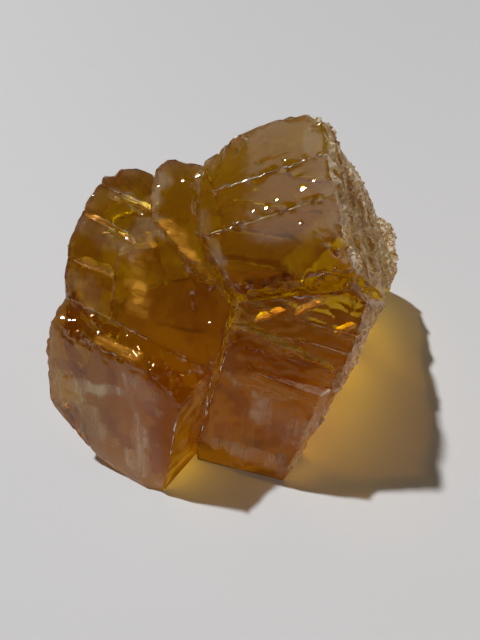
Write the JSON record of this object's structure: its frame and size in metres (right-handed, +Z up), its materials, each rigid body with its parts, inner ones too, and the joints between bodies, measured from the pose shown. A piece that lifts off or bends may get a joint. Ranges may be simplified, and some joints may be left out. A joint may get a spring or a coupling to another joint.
{
  "type": "raw calcite specimen",
  "caption": "Raw piece of clear honey-coloured calcite: stepped crystals grown together, glassy sloping faces and one pale frosted side.",
  "frame": {"origin": "middle of the stone's bounding box on the plane that it rests on", "axes": "+X towards the pale frosted flank, +Y towards the back, away from the stepped front, +Z up"},
  "size_m": [0.086, 0.0708, 0.0651],
  "materials": {
    "calcite": "clear amber crystal, glassy faces, frosted where broken or worn"
  },
  "bodies": {
    "root": {"raw_calcite": "calcite"}
  },
  "joints": []
}
